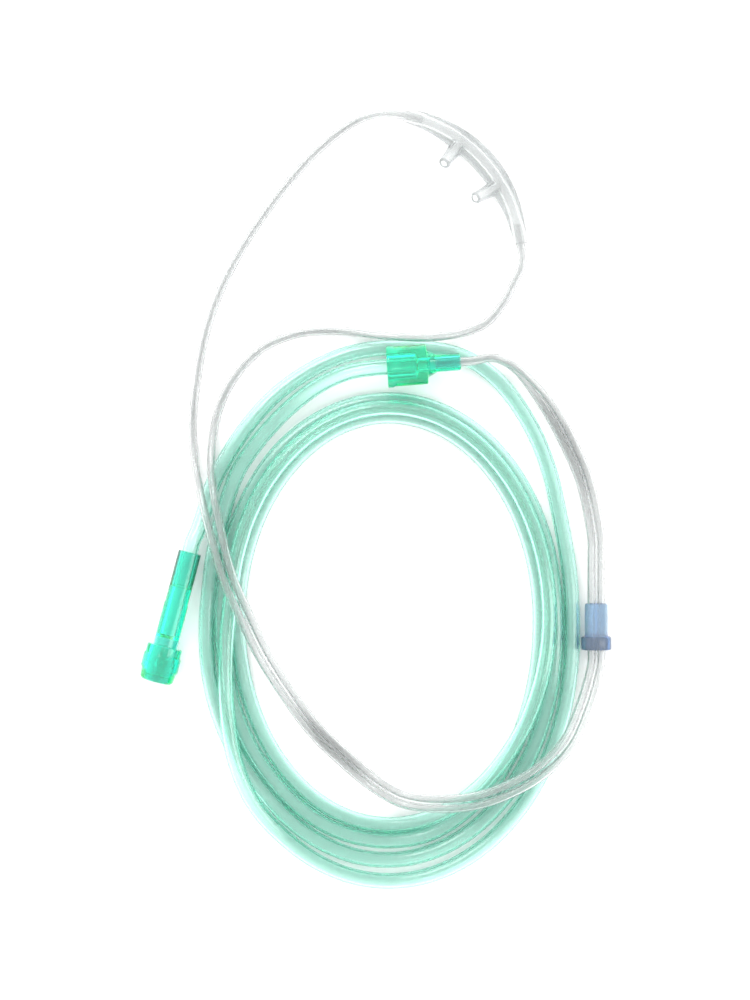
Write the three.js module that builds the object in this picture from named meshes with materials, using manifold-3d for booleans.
// Nasal oxygen cannula, laid flat with its supply tube coiled.
// Millimetres, +Z up. The origin is on the floor, under the middle of the four moulded pieces.
// +Y runs from the supply connector towards the nosepiece.

import * as THREE from 'three';
import { mergeVertices } from 'three/addons/utils/BufferGeometryUtils.js';
import Module from 'manifold-3d';

const wasm = await Module();
wasm.setup();

// Clearances: round a tube in its socket and between pieces that touch, between the two headset
// tubes, and under a tube that lies on the floor
const SLIP_GAP = 0.3;
const PAIR_GAP = 0.45;
const FLOOR_GAP = 0.2;

// How far a cut runs past the face that it opens, and how far a tube runs straight out of a socket
const OVERCUT = 1;
const STRAIGHT_OUT = 4;

// Tubing
const HEADSET_OD = 3.0;
const HEADSET_SIDES = 8;
const HEADSET_STEP = 8;
const SUPPLY_OD = 5.6;
const SUPPLY_SIDES = 12;
const SUPPLY_STEP = 12;
const PAIR_PITCH = HEADSET_OD + PAIR_GAP;

// Nosepiece: a body bent along an arc, with two prongs on the arc's inner side
const NOSE_ARC_CENTRE = [-1.2, 49.0];
const NOSE_ARC_RADIUS = 53;
const NOSE_MID_BEARING = 42;
const NOSE_LENGTH = 66;
const NOSE_WIDTH = 8.6;
const NOSE_HEIGHT = 6.4;
const NOSE_LUMEN = 3.0;
const SLEEVE_WALL = 0.7;
const SLEEVE_DEPTH = 7;
const PRONG_SPACING = 21;
const PRONG_REACH = 12;
const PRONG_BEND_RADIUS = 16;
const PRONG_BASE_OD = 5.2;
const PRONG_TIP_OD = 4.2;
const PRONG_BORE = 2.6;

// Chin slide: a barrel with a collar at its lower end
const SLIDE_FOOT = [78.5, -90.6];
const SLIDE_BARREL_OD = 8.2;
const SLIDE_BARREL_LENGTH = 11.8;
const SLIDE_COLLAR_OD = 10.9;
const SLIDE_COLLAR_LENGTH = 4.8;
const SLIDE_EDGE = 0.6;

// Y connector: a barrel for the supply tube and a nozzle for the two headset tubes
const Y_FACE = [3.7, 10.2];
const Y_AXIS_HEIGHT = 10.9;
const Y_BEARING = 4;
const Y_BARREL_OD = 14.2;
const Y_BARREL_LENGTH = 14.3;
const Y_RIM_OD = 14.9;
const Y_RIM_LENGTH = 1.8;
const Y_ROOT_OD = 9.7;
const Y_ROOT_LENGTH = 3.6;
const Y_NOZZLE_LENGTH = 8.2;
const Y_NOZZLE_WALL = 1.2;
const Y_SUPPLY_DEPTH = 10;
const Y_PAIR_DEPTH = 9;
const Y_PASSAGE = 3.4;
const Y_EDGE = 0.7;

// Supply connector: a long stem with a flared mouth, its axis level
const SUPPLY_MOUTH = [-78.7, -101.7];
const CONNECTOR_BEARING = 75.2;
const CONNECTOR_LENGTH = 47.5;
const STEM_OD = 8.6;
const STEM_NECK_OD = 8.2;
const STEM_NECK_LENGTH = 18.5;
const CUP_OD = 12.6;
const CUP_LENGTH = 12.8;
const CUP_BEAD_OD = 13.5;
const CUP_BEAD_START = 4.6;
const CUP_BEAD_LENGTH = 4.6;
const MOUTH_OD = 11.8;
const MOUTH_BORE = 10.0;
const MOUTH_TAPER = 16;
const THROAT_BORE = 7.4;
const STEM_LUMEN = 4.2;
const STEM_SOCKET_DEPTH = 13;
const CUP_LUGS = 6;
const LUG_WIDTH = 2.0;
const LUG_LENGTH = 6.5;

// Coiled supply tube: an oval ring, two layers high, with its turns three abreast at the sides
const COIL_CENTRE = [4.5, -87.4];
const COIL_WIDTH = 136.4;
const COIL_LENGTH = 177.8;
const COIL_SPLIT = 3.3;
const COIL_SIDE_BAND = 3 * SUPPLY_OD;
const COIL_TOP_BAND = 2 * SUPPLY_OD;
const COIL_BOTTOM_BAND = 4 * SUPPLY_OD + COIL_SPLIT;
const COIL_HEIGHT = SUPPLY_OD * (1 + Math.sin(Math.PI / 3));
const COIL_ROUNDING = 2.4;
const COIL_SEGMENTS = 28;

// Roundness of the moulded pieces
const ROUND = 32;
const FINE_ROUND = 20;

// Heights of the routes: lying on the floor, and crossing over the coil
const HEADSET_FLOOR = HEADSET_OD / 2 + FLOOR_GAP;
const SUPPLY_FLOOR = SUPPLY_OD / 2 + FLOOR_GAP;
const OVER_COIL = COIL_HEIGHT + SLIP_GAP + HEADSET_OD / 2;
const SLIDE_HEIGHT = SLIDE_COLLAR_OD / 2;

// Route of headset tube A from the nosepiece's upper sleeve to the pair: x, y, z
const HEADSET_A_ROUTE = [
  [2.0, 101.5, 2.8],
  [-7.0, 99.0, HEADSET_FLOOR],
  [-22.3, 87.2, HEADSET_FLOOR],
  [-35.5, 71.8, HEADSET_FLOOR],
  [-46.9, 55.4, HEADSET_FLOOR],
  [-56.6, 36.5, HEADSET_FLOOR],
  [-61.6, 21.1, HEADSET_FLOOR],
  [-64.4, 5.8, HEADSET_FLOOR],
  [-65.9, -9.6, 1.8],
  [-64.8, -24.9, 4.0],
  [-62.3, -36.3, 8.8],
  [-59.4, -47.8, 12.0],
];

// Route of headset tube B from the nosepiece's lower sleeve, past the Y connector, to the pair
const HEADSET_B_ROUTE = [
  [52.3, 47.9, 2.2],
  [49.4, 41.1, HEADSET_FLOOR],
  [45.5, 33.6, HEADSET_FLOOR],
  [39.4, 26.5, 1.8],
  [31.2, 22.9, 3.2],
  [22.7, 21.3, 5.4],
  [15.9, 20.8, 6.4],
  [8.4, 21.1, 6.2],
  [0.9, 21.8, 5.0],
  [-6.6, 22.9, 3.0],
  [-14.5, 23.6, 1.8],
  [-28.0, 22.6, HEADSET_FLOOR],
  [-41.2, 17.2, HEADSET_FLOOR],
  [-50.9, 6.9, HEADSET_FLOOR],
  [-56.9, -5.6, 1.8],
  [-59.1, -21.0, 4.4],
  [-58.0, -34.2, 9.6],
  [-55.2, -47.8, OVER_COIL],
];

// Middle line of the two headset tubes where they lie side by side, over the coil, through its
// hole, over it again and up through the chin slide: x, y, z and the roll of the pair in degrees
const PAIR_ROUTE = [
  [-53.0, -63.8, OVER_COIL, 0],
  [-47.7, -76.3, OVER_COIL, 0],
  [-40.5, -91.3, 12.0, 0],
  [-31.2, -106.7, 6.5, 0],
  [-21.6, -119.9, 1.9, 0],
  [-11.2, -129.9, 1.9, 0],
  [-0.5, -138.4, 4.8, 0],
  [10.2, -143.4, 11.9, 0],
  [22.7, -144.9, OVER_COIL, 0],
  [35.2, -143.8, OVER_COIL, 0],
  [46.6, -139.9, OVER_COIL, 0],
  [58.0, -133.4, OVER_COIL, 0],
  [67.7, -123.5, OVER_COIL, 0],
  [73.4, -112.0, 9.3, 0],
  [77.1, -101.2, 6.2, 0],
  [78.5, -94.8, SLIDE_HEIGHT, 0],
  [78.5, -91.8, SLIDE_HEIGHT, 0],
  [78.5, -72.8, SLIDE_HEIGHT, 0],
  [78.5, -56.1, SLIDE_HEIGHT, 0],
  [78.5, -52.1, SLIDE_HEIGHT, 0],
  [76.9, -40.6, 4.2, 0],
  [74.1, -28.8, 2.4, 0],
  [69.8, -18.5, 1.8, 0],
  [65.5, -9.9, 2.0, 10],
  [60.9, -2.4, 2.8, 30],
  [55.9, 4.0, 4.8, 55],
  [50.5, 9.4, 7.2, 75],
  [45.9, 12.2, 9.2, 85],
  [41.2, 13.5, 10.4, 90],
];

// Supply tube from the Y connector down to the coil
const SUPPLY_LEAD_ROUTE = [
  [-9.5, 8.5, 9.4],
  [-20.2, 4.0, 6.6],
  [-30.5, -3.5, 4.0],
  [-38.7, -11.7, 3.1],
  [-45.2, -19.9, SUPPLY_FLOOR],
  [-50.2, -28.1, SUPPLY_FLOOR],
];

// Supply tube from the coil, under the Y connector and round its outside to the supply connector
const SUPPLY_TAIL_ROUTE = [
  [64.4, -37.1, SUPPLY_FLOOR],
  [62.3, -28.1, SUPPLY_FLOOR],
  [57.3, -14.6, SUPPLY_FLOOR],
  [50.2, -2.4, SUPPLY_FLOOR],
  [42.7, 6.5, SUPPLY_FLOOR],
  [34.5, 12.6, SUPPLY_FLOOR],
  [26.2, 15.8, SUPPLY_FLOOR],
  [17.3, 17.2, SUPPLY_FLOOR],
  [8.4, 17.6, SUPPLY_FLOOR],
  [-2.3, 16.9, SUPPLY_FLOOR],
  [-13.0, 14.4, SUPPLY_FLOOR],
  [-24.5, 9.0, SUPPLY_FLOOR],
  [-35.9, 0.8, SUPPLY_FLOOR],
  [-45.5, -9.6, SUPPLY_FLOOR],
  [-53.0, -20.6, SUPPLY_FLOOR],
  [-58.7, -31.7, SUPPLY_FLOOR],
  [-61.2, -39.9, 3.6],
  [-63.7, -47.8, 5.6],
];

// Finishes
const CLEAR_VINYL = { color: '#dfe3e2', roughness: 0.2, metalness: 0 };
const SLIDE_BLUE = { color: '#7fa9d6', roughness: 0.25, metalness: 0 };
const GREEN_VINYL = { color: '#8fdcc4', roughness: 0.25, metalness: 0 };
const GREEN_MOULDED = { color: '#33bf95', roughness: 0.15, metalness: 0 };

// The closed solid of a geometry, for joining and cutting
function toSolid(geometry) {
  const bare = geometry.clone();
  bare.deleteAttribute('normal');
  bare.deleteAttribute('uv');
  const welded = mergeVertices(bare);
  const corners = [];
  for (let i = 0; i < welded.index.count; i += 3) {
    const [a, b, c] = [0, 1, 2].map((k) => welded.index.getX(i + k));
    if (a !== b && b !== c && c !== a) corners.push(a, b, c);
  }
  return new wasm.Manifold(new wasm.Mesh({
    numProp: 3,
    vertProperties: new Float32Array(welded.attributes.position.array),
    triVerts: new Uint32Array(corners),
  }));
}

// The geometry of a solid
function toGeometry(solid) {
  const { vertProperties, triVerts } = solid.getMesh();
  const geometry = new THREE.BufferGeometry();
  geometry.setAttribute('position', new THREE.BufferAttribute(vertProperties, 3));
  geometry.setIndex(new THREE.BufferAttribute(triVerts, 1));
  geometry.computeVertexNormals();
  return geometry;
}

// The first geometries joined, with the others cut out of them
function joinAndCut(joined, cut) {
  const whole = joined.map(toSolid).reduce((sum, solid) => sum.add(solid));
  return toGeometry(cut.map(toSolid).reduce((rest, solid) => rest.subtract(solid), whole));
}

// A turned solid about +Y, from [radius, height] corners that start and end on the axis
function turned(corners, sides = ROUND) {
  return new THREE.LatheGeometry(corners.map(([r, h]) => new THREE.Vector2(r, h)), sides);
}

// A straight round rod along +Y between two heights
function rod(diameter, low, high, sides = FINE_ROUND) {
  return new THREE.CylinderGeometry(diameter / 2, diameter / 2, high - low, sides)
    .translate(0, (low + high) / 2, 0);
}

// A rod with half-round ends in section, along +Y, for two tubes that lie against each other
function pairRod(width, spread, low, high, edge) {
  const section = new THREE.Shape();
  section.absarc(spread / 2, 0, width / 2, -Math.PI / 2, Math.PI / 2);
  section.absarc(-spread / 2, 0, width / 2, Math.PI / 2, 3 * Math.PI / 2);
  return new THREE.ExtrudeGeometry(section, {
    depth: high - low - 2 * edge,
    curveSegments: FINE_ROUND / 4,
    bevelEnabled: edge > 0,
    bevelThickness: edge,
    bevelSize: edge,
    bevelOffset: -edge,
    bevelSegments: 1,
  }).rotateX(-Math.PI / 2).translate(0, low + edge, 0);
}

// Bends a geometry that runs along +Y about a line that lies `radius` away on its -X side
function bend(geometry, radius) {
  const corner = geometry.attributes.position;
  for (let i = 0; i < corner.count; i += 1) {
    const reach = radius + corner.getX(i);
    const angle = corner.getY(i) / radius;
    corner.setXY(i, reach * Math.cos(angle) - radius, reach * Math.sin(angle));
  }
  return geometry;
}

// A tube of one outer diameter along a smooth route of points
function tube(points, diameter, sides, step) {
  const route = new THREE.CatmullRomCurve3(points);
  const section = new THREE.Shape();
  section.absarc(0, 0, diameter / 2, 0, 2 * Math.PI);
  return new THREE.ExtrudeGeometry(section, {
    steps: Math.ceil(route.getLength() / step),
    curveSegments: sides / 2,
    extrudePath: route,
  });
}

// Unit vector in the floor's plane at a bearing in degrees from +X
function heading(bearing) {
  const angle = THREE.MathUtils.degToRad(bearing);
  return new THREE.Vector3(Math.cos(angle), Math.sin(angle), 0);
}

// A point on the nosepiece's centre line, at a distance along it from the middle
function nosePoint(along) {
  const bearing = NOSE_MID_BEARING + THREE.MathUtils.radToDeg(along / NOSE_ARC_RADIUS);
  const centre = new THREE.Vector3(...NOSE_ARC_CENTRE, NOSE_HEIGHT / 2);
  return centre.addScaledVector(heading(bearing), NOSE_ARC_RADIUS);
}

// A point on the Y connector's axis, at a distance from its supply face
function yPoint(along) {
  return new THREE.Vector3(...Y_FACE, Y_AXIS_HEIGHT).addScaledVector(heading(Y_BEARING), along);
}

// Height of the supply connector's axis: its widest bead, with the lugs on it, meets the floor
const CONNECTOR_HEIGHT = CUP_BEAD_OD / 2;

// A point on the supply connector's axis, at a distance from its mouth
function connectorPoint(along) {
  return new THREE.Vector3(...SUPPLY_MOUTH, CONNECTOR_HEIGHT)
    .addScaledVector(heading(CONNECTOR_BEARING), along);
}

// Blend from 1 in the middle of the nosepiece to 0 at its ends
function noseBlend(along) {
  const share = Math.min(Math.abs(along) / (NOSE_LENGTH / 2), 1);
  return (1 - share * share) ** 1.5;
}

// The nosepiece's outside, straight along +Y: a flat oval in the middle, round sleeves at the ends
function noseBody() {
  const stations = 24;
  const sleeve = HEADSET_OD / 2 + SLIP_GAP + SLEEVE_WALL;
  const body = new THREE.CylinderGeometry(1, 1, NOSE_LENGTH, ROUND, stations);
  const corner = body.attributes.position;
  for (let i = 0; i < corner.count; i += 1) {
    const blend = noseBlend(corner.getY(i));
    const halfWidth = THREE.MathUtils.lerp(sleeve, NOSE_WIDTH / 2, blend);
    const halfHeight = THREE.MathUtils.lerp(sleeve, NOSE_HEIGHT / 2, blend);
    corner.setXYZ(i, corner.getX(i) * halfWidth, corner.getY(i), corner.getZ(i) * halfHeight);
  }
  return body;
}

// A tapered rod along +Y from the origin, bent and then turned to a prong's place on the body
function prongRod(baseDiameter, tipDiameter, length, side) {
  const steps = 8;
  const prong = new THREE.CylinderGeometry(
    tipDiameter / 2, baseDiameter / 2, length, FINE_ROUND, steps).translate(0, length / 2, 0);
  const along = side * PRONG_SPACING / 2;
  const inward = heading(NOSE_MID_BEARING + THREE.MathUtils.radToDeg(along / NOSE_ARC_RADIUS))
    .negate();
  const down = new THREE.Vector3(0, 0, -1);
  const across = new THREE.Vector3().crossVectors(down, inward);
  const place = new THREE.Matrix4().makeBasis(down, inward, across).setPosition(nosePoint(along));
  return bend(prong, PRONG_BEND_RADIUS).applyMatrix4(place);
}

// Turns a straight geometry along +Y into the nosepiece's arc, in its place
function alongNose(geometry) {
  const middle = nosePoint(0);
  return bend(geometry, NOSE_ARC_RADIUS)
    .rotateZ(THREE.MathUtils.degToRad(NOSE_MID_BEARING))
    .translate(middle.x, middle.y, middle.z);
}

// A round hole along the nosepiece, between two distances from its middle
function noseHole(diameter, low, high) {
  const steps = Math.ceil((high - low) / 3);
  return alongNose(new THREE.CylinderGeometry(
    diameter / 2, diameter / 2, high - low, FINE_ROUND, steps).translate(0, (low + high) / 2, 0));
}

function nosepieceGeometry() {
  const end = NOSE_LENGTH / 2;
  const socket = HEADSET_OD + 2 * SLIP_GAP;
  return joinAndCut([
    alongNose(noseBody()),
    prongRod(PRONG_BASE_OD, PRONG_TIP_OD, PRONG_REACH, 1),
    prongRod(PRONG_BASE_OD, PRONG_TIP_OD, PRONG_REACH, -1),
  ], [
    noseHole(NOSE_LUMEN, SLEEVE_DEPTH / 2 - end, end - SLEEVE_DEPTH / 2),
    noseHole(socket, -end - OVERCUT, SLEEVE_DEPTH - end),
    noseHole(socket, end - SLEEVE_DEPTH, end + OVERCUT),
    prongRod(PRONG_BORE, PRONG_BORE, PRONG_REACH + OVERCUT, 1),
    prongRod(PRONG_BORE, PRONG_BORE, PRONG_REACH + OVERCUT, -1),
  ]);
}

// The slide's hole is one slot that the two headset tubes pass through side by side
function chinSlideGeometry() {
  const collar = SLIDE_COLLAR_OD / 2;
  const barrel = SLIDE_BARREL_OD / 2;
  const length = SLIDE_COLLAR_LENGTH + SLIDE_BARREL_LENGTH;
  const outside = turned([
    [0, 0],
    [collar - SLIDE_EDGE, 0],
    [collar, SLIDE_EDGE],
    [collar, SLIDE_COLLAR_LENGTH - SLIDE_EDGE],
    [collar - SLIDE_EDGE, SLIDE_COLLAR_LENGTH],
    [barrel, SLIDE_COLLAR_LENGTH],
    [barrel, length - SLIDE_EDGE],
    [barrel - SLIDE_EDGE / 2, length],
    [0, length],
  ]);
  const slotWidth = HEADSET_OD + 2 * SLIP_GAP;
  const slot = pairRod(slotWidth, PAIR_PITCH, -OVERCUT, length + OVERCUT, 0);
  return joinAndCut([outside], [slot]);
}

// The nozzle stands on edge, so that the two headset tubes enter it one above the other
function yConnectorGeometry() {
  const rim = Y_RIM_OD / 2;
  const barrel = Y_BARREL_OD / 2;
  const rootEnd = Y_BARREL_LENGTH + Y_ROOT_LENGTH;
  const length = rootEnd + Y_NOZZLE_LENGTH;
  const slotWidth = HEADSET_OD + 2 * SLIP_GAP;
  const nozzleWidth = slotWidth + 2 * Y_NOZZLE_WALL;
  const outside = turned([
    [0, 0],
    [rim - Y_EDGE, 0],
    [rim, Y_EDGE],
    [rim, Y_RIM_LENGTH],
    [barrel, Y_RIM_LENGTH + Y_EDGE],
    [barrel, Y_BARREL_LENGTH - 2 * Y_EDGE],
    [barrel - Y_EDGE, Y_BARREL_LENGTH - Y_EDGE / 2],
    [barrel - 2 * Y_EDGE, Y_BARREL_LENGTH],
    [Y_ROOT_OD / 2, Y_BARREL_LENGTH],
    [nozzleWidth / 2, rootEnd],
    [0, rootEnd],
  ]);
  const nozzle = pairRod(nozzleWidth, PAIR_PITCH, Y_BARREL_LENGTH - OVERCUT, length, Y_EDGE / 2)
    .rotateY(Math.PI / 2);
  return joinAndCut([outside, nozzle], [
    rod(SUPPLY_OD + 2 * SLIP_GAP, -OVERCUT, Y_SUPPLY_DEPTH),
    rod(Y_PASSAGE, Y_SUPPLY_DEPTH - OVERCUT, length - Y_PAIR_DEPTH + OVERCUT),
    pairRod(slotWidth, PAIR_PITCH, length - Y_PAIR_DEPTH, length + OVERCUT, 0)
      .rotateY(Math.PI / 2),
  ]);
}

function supplyConnectorGeometry() {
  const stem = STEM_OD / 2;
  const neck = STEM_NECK_OD / 2;
  const cup = CUP_OD / 2;
  const neckStart = CONNECTOR_LENGTH - STEM_NECK_LENGTH;
  const socketStart = CONNECTOR_LENGTH - STEM_SOCKET_DEPTH;
  const edge = (STEM_NECK_OD - SUPPLY_OD) / 4;
  const outside = turned([
    [0, 0],
    [MOUTH_OD / 2, 0],
    [cup, CUP_BEAD_START - edge],
    [cup, CUP_LENGTH - edge],
    [cup - edge, CUP_LENGTH],
    [stem, CUP_LENGTH + edge],
    [stem, neckStart - edge],
    [neck - edge, neckStart],
    [neck, neckStart + edge],
    [neck, CONNECTOR_LENGTH - 2 * edge],
    [neck - edge, CONNECTOR_LENGTH],
    [0, CONNECTOR_LENGTH],
  ]);
  const bead = CUP_BEAD_OD / 2;
  const beadEnd = CUP_BEAD_START + CUP_BEAD_LENGTH;
  const ring = turned([
    [0, CUP_BEAD_START - edge],
    [cup, CUP_BEAD_START - edge],
    [bead, CUP_BEAD_START],
    [bead, beadEnd],
    [cup, beadEnd + edge],
    [0, beadEnd + edge],
  ]);
  const lugs = [];
  for (let i = 0; i < CUP_LUGS; i += 1) {
    const lugReach = bead * Math.cos(Math.PI / ROUND) - SLIP_GAP / 2;
    lugs.push(new THREE.BoxGeometry(lugReach, LUG_LENGTH, LUG_WIDTH)
      .translate(lugReach / 2, CUP_LENGTH - LUG_LENGTH / 2, 0)
      .rotateY((i + 0.5) * 2 * Math.PI / CUP_LUGS));
  }
  const bore = turned([
    [0, -OVERCUT],
    [MOUTH_BORE / 2, -OVERCUT],
    [MOUTH_BORE / 2, 0],
    [THROAT_BORE / 2, MOUTH_TAPER],
    [STEM_LUMEN / 2, MOUTH_TAPER + edge],
    [STEM_LUMEN / 2, socketStart],
    [SUPPLY_OD / 2 + SLIP_GAP, socketStart],
    [SUPPLY_OD / 2 + SLIP_GAP, CONNECTOR_LENGTH + OVERCUT],
    [0, CONNECTOR_LENGTH + OVERCUT],
  ]);
  return joinAndCut([outside, ring, ...lugs], [bore]);
}

// Points of one headset tube where the pair lies together: side 1 is the outer tube, which ends
// uppermost in the Y connector's nozzle, and side -1 is the inner one
function pairLane(side) {
  const mouth = Y_BARREL_LENGTH + Y_ROOT_LENGTH + Y_NOZZLE_LENGTH;
  const inNozzle = [STRAIGHT_OUT, 0, SLIP_GAP - Y_PAIR_DEPTH]
    .map((past) => [...yPoint(mouth + past), 90]);
  const route = [...PAIR_ROUTE, ...inNozzle];
  return route.map(([x, y, z, roll], i) => {
    const before = route[Math.max(i - 1, 0)];
    const after = route[Math.min(i + 1, route.length - 1)];
    const along = new THREE.Vector2(after[0] - before[0], after[1] - before[1]).normalize();
    const turn = THREE.MathUtils.degToRad(roll);
    const level = side * PAIR_PITCH / 2 * Math.cos(turn);
    const rise = side * PAIR_PITCH / 2 * Math.sin(turn);
    return new THREE.Vector3(x + level * along.y, y - level * along.x, z + rise);
  });
}

// One headset tube: from the bottom of its sleeve on the nosepiece to the Y connector
function headsetTubeGeometry(side, solo) {
  const end = NOSE_LENGTH / 2;
  const inSleeve = [SLIP_GAP - SLEEVE_DEPTH, -SLEEVE_DEPTH / 2, 0];
  const points = [
    ...inSleeve.map((past) => nosePoint(side * (end + past))),
    ...solo.map((point) => new THREE.Vector3(...point)),
    ...pairLane(side),
  ];
  return tube(points, HEADSET_OD, HEADSET_SIDES, HEADSET_STEP);
}

function supplyLeadGeometry() {
  const inSocket = [Y_SUPPLY_DEPTH - SLIP_GAP, Y_SUPPLY_DEPTH / 2, 0, -STRAIGHT_OUT];
  const points = [
    ...inSocket.map((along) => yPoint(along)),
    ...SUPPLY_LEAD_ROUTE.map((point) => new THREE.Vector3(...point)),
  ];
  return tube(points, SUPPLY_OD, SUPPLY_SIDES, SUPPLY_STEP);
}

function supplyTailGeometry() {
  const socketEnd = CONNECTOR_LENGTH - STEM_SOCKET_DEPTH + SLIP_GAP;
  const inSocket = [CONNECTOR_LENGTH + STRAIGHT_OUT, CONNECTOR_LENGTH, socketEnd];
  const points = [
    ...SUPPLY_TAIL_ROUTE.map((point) => new THREE.Vector3(...point)),
    ...inSocket.map((along) => connectorPoint(along)),
  ];
  return tube(points, SUPPLY_OD, SUPPLY_SIDES, SUPPLY_STEP);
}

// The outer shape of the coil's turns: an oval ring whose band is widest at the bottom, where the
// turns lie apart
function supplyCoilGeometry() {
  const [x, y] = COIL_CENTRE;
  const ring = new THREE.Shape();
  ring.absellipse(x, y, COIL_WIDTH / 2, COIL_LENGTH / 2, 0, 2 * Math.PI);
  const hole = new THREE.Path();
  hole.absellipse(
    x, y + (COIL_BOTTOM_BAND - COIL_TOP_BAND) / 2,
    COIL_WIDTH / 2 - COIL_SIDE_BAND, (COIL_LENGTH - COIL_TOP_BAND - COIL_BOTTOM_BAND) / 2,
    0, 2 * Math.PI);
  ring.holes.push(hole);
  return new THREE.ExtrudeGeometry(ring, {
    depth: COIL_HEIGHT - 2 * COIL_ROUNDING,
    curveSegments: COIL_SEGMENTS,
    bevelThickness: COIL_ROUNDING,
    bevelSize: COIL_ROUNDING,
    bevelOffset: -COIL_ROUNDING,
    bevelSegments: 2,
  }).translate(0, 0, COIL_ROUNDING);
}

// Adds a named piece to the cannula and returns it, so that it can be placed
const cannula = new THREE.Group();
function addPiece(name, geometry, finish) {
  const piece = new THREE.Mesh(geometry, new THREE.MeshStandardMaterial(finish));
  piece.name = name;
  cannula.add(piece);
  return piece;
}

addPiece('nosepiece', nosepieceGeometry(), CLEAR_VINYL);
addPiece('headset_tube_a', headsetTubeGeometry(1, HEADSET_A_ROUTE), CLEAR_VINYL);
addPiece('headset_tube_b', headsetTubeGeometry(-1, HEADSET_B_ROUTE), CLEAR_VINYL);

const chinSlide = addPiece('chin_slide', chinSlideGeometry(), SLIDE_BLUE);
chinSlide.position.set(...SLIDE_FOOT, SLIDE_HEIGHT);

const yConnector = addPiece('y_connector', yConnectorGeometry(), GREEN_MOULDED);
yConnector.position.copy(yPoint(0));
yConnector.rotation.z = THREE.MathUtils.degToRad(Y_BEARING - 90);

addPiece('supply_lead', supplyLeadGeometry(), GREEN_VINYL);
addPiece('supply_coil', supplyCoilGeometry(), GREEN_VINYL);
addPiece('supply_tail', supplyTailGeometry(), GREEN_VINYL);

const supplyConnector = addPiece('supply_connector', supplyConnectorGeometry(), GREEN_MOULDED);
supplyConnector.position.copy(connectorPoint(0));
supplyConnector.rotation.z = THREE.MathUtils.degToRad(CONNECTOR_BEARING - 90);

export default cannula;
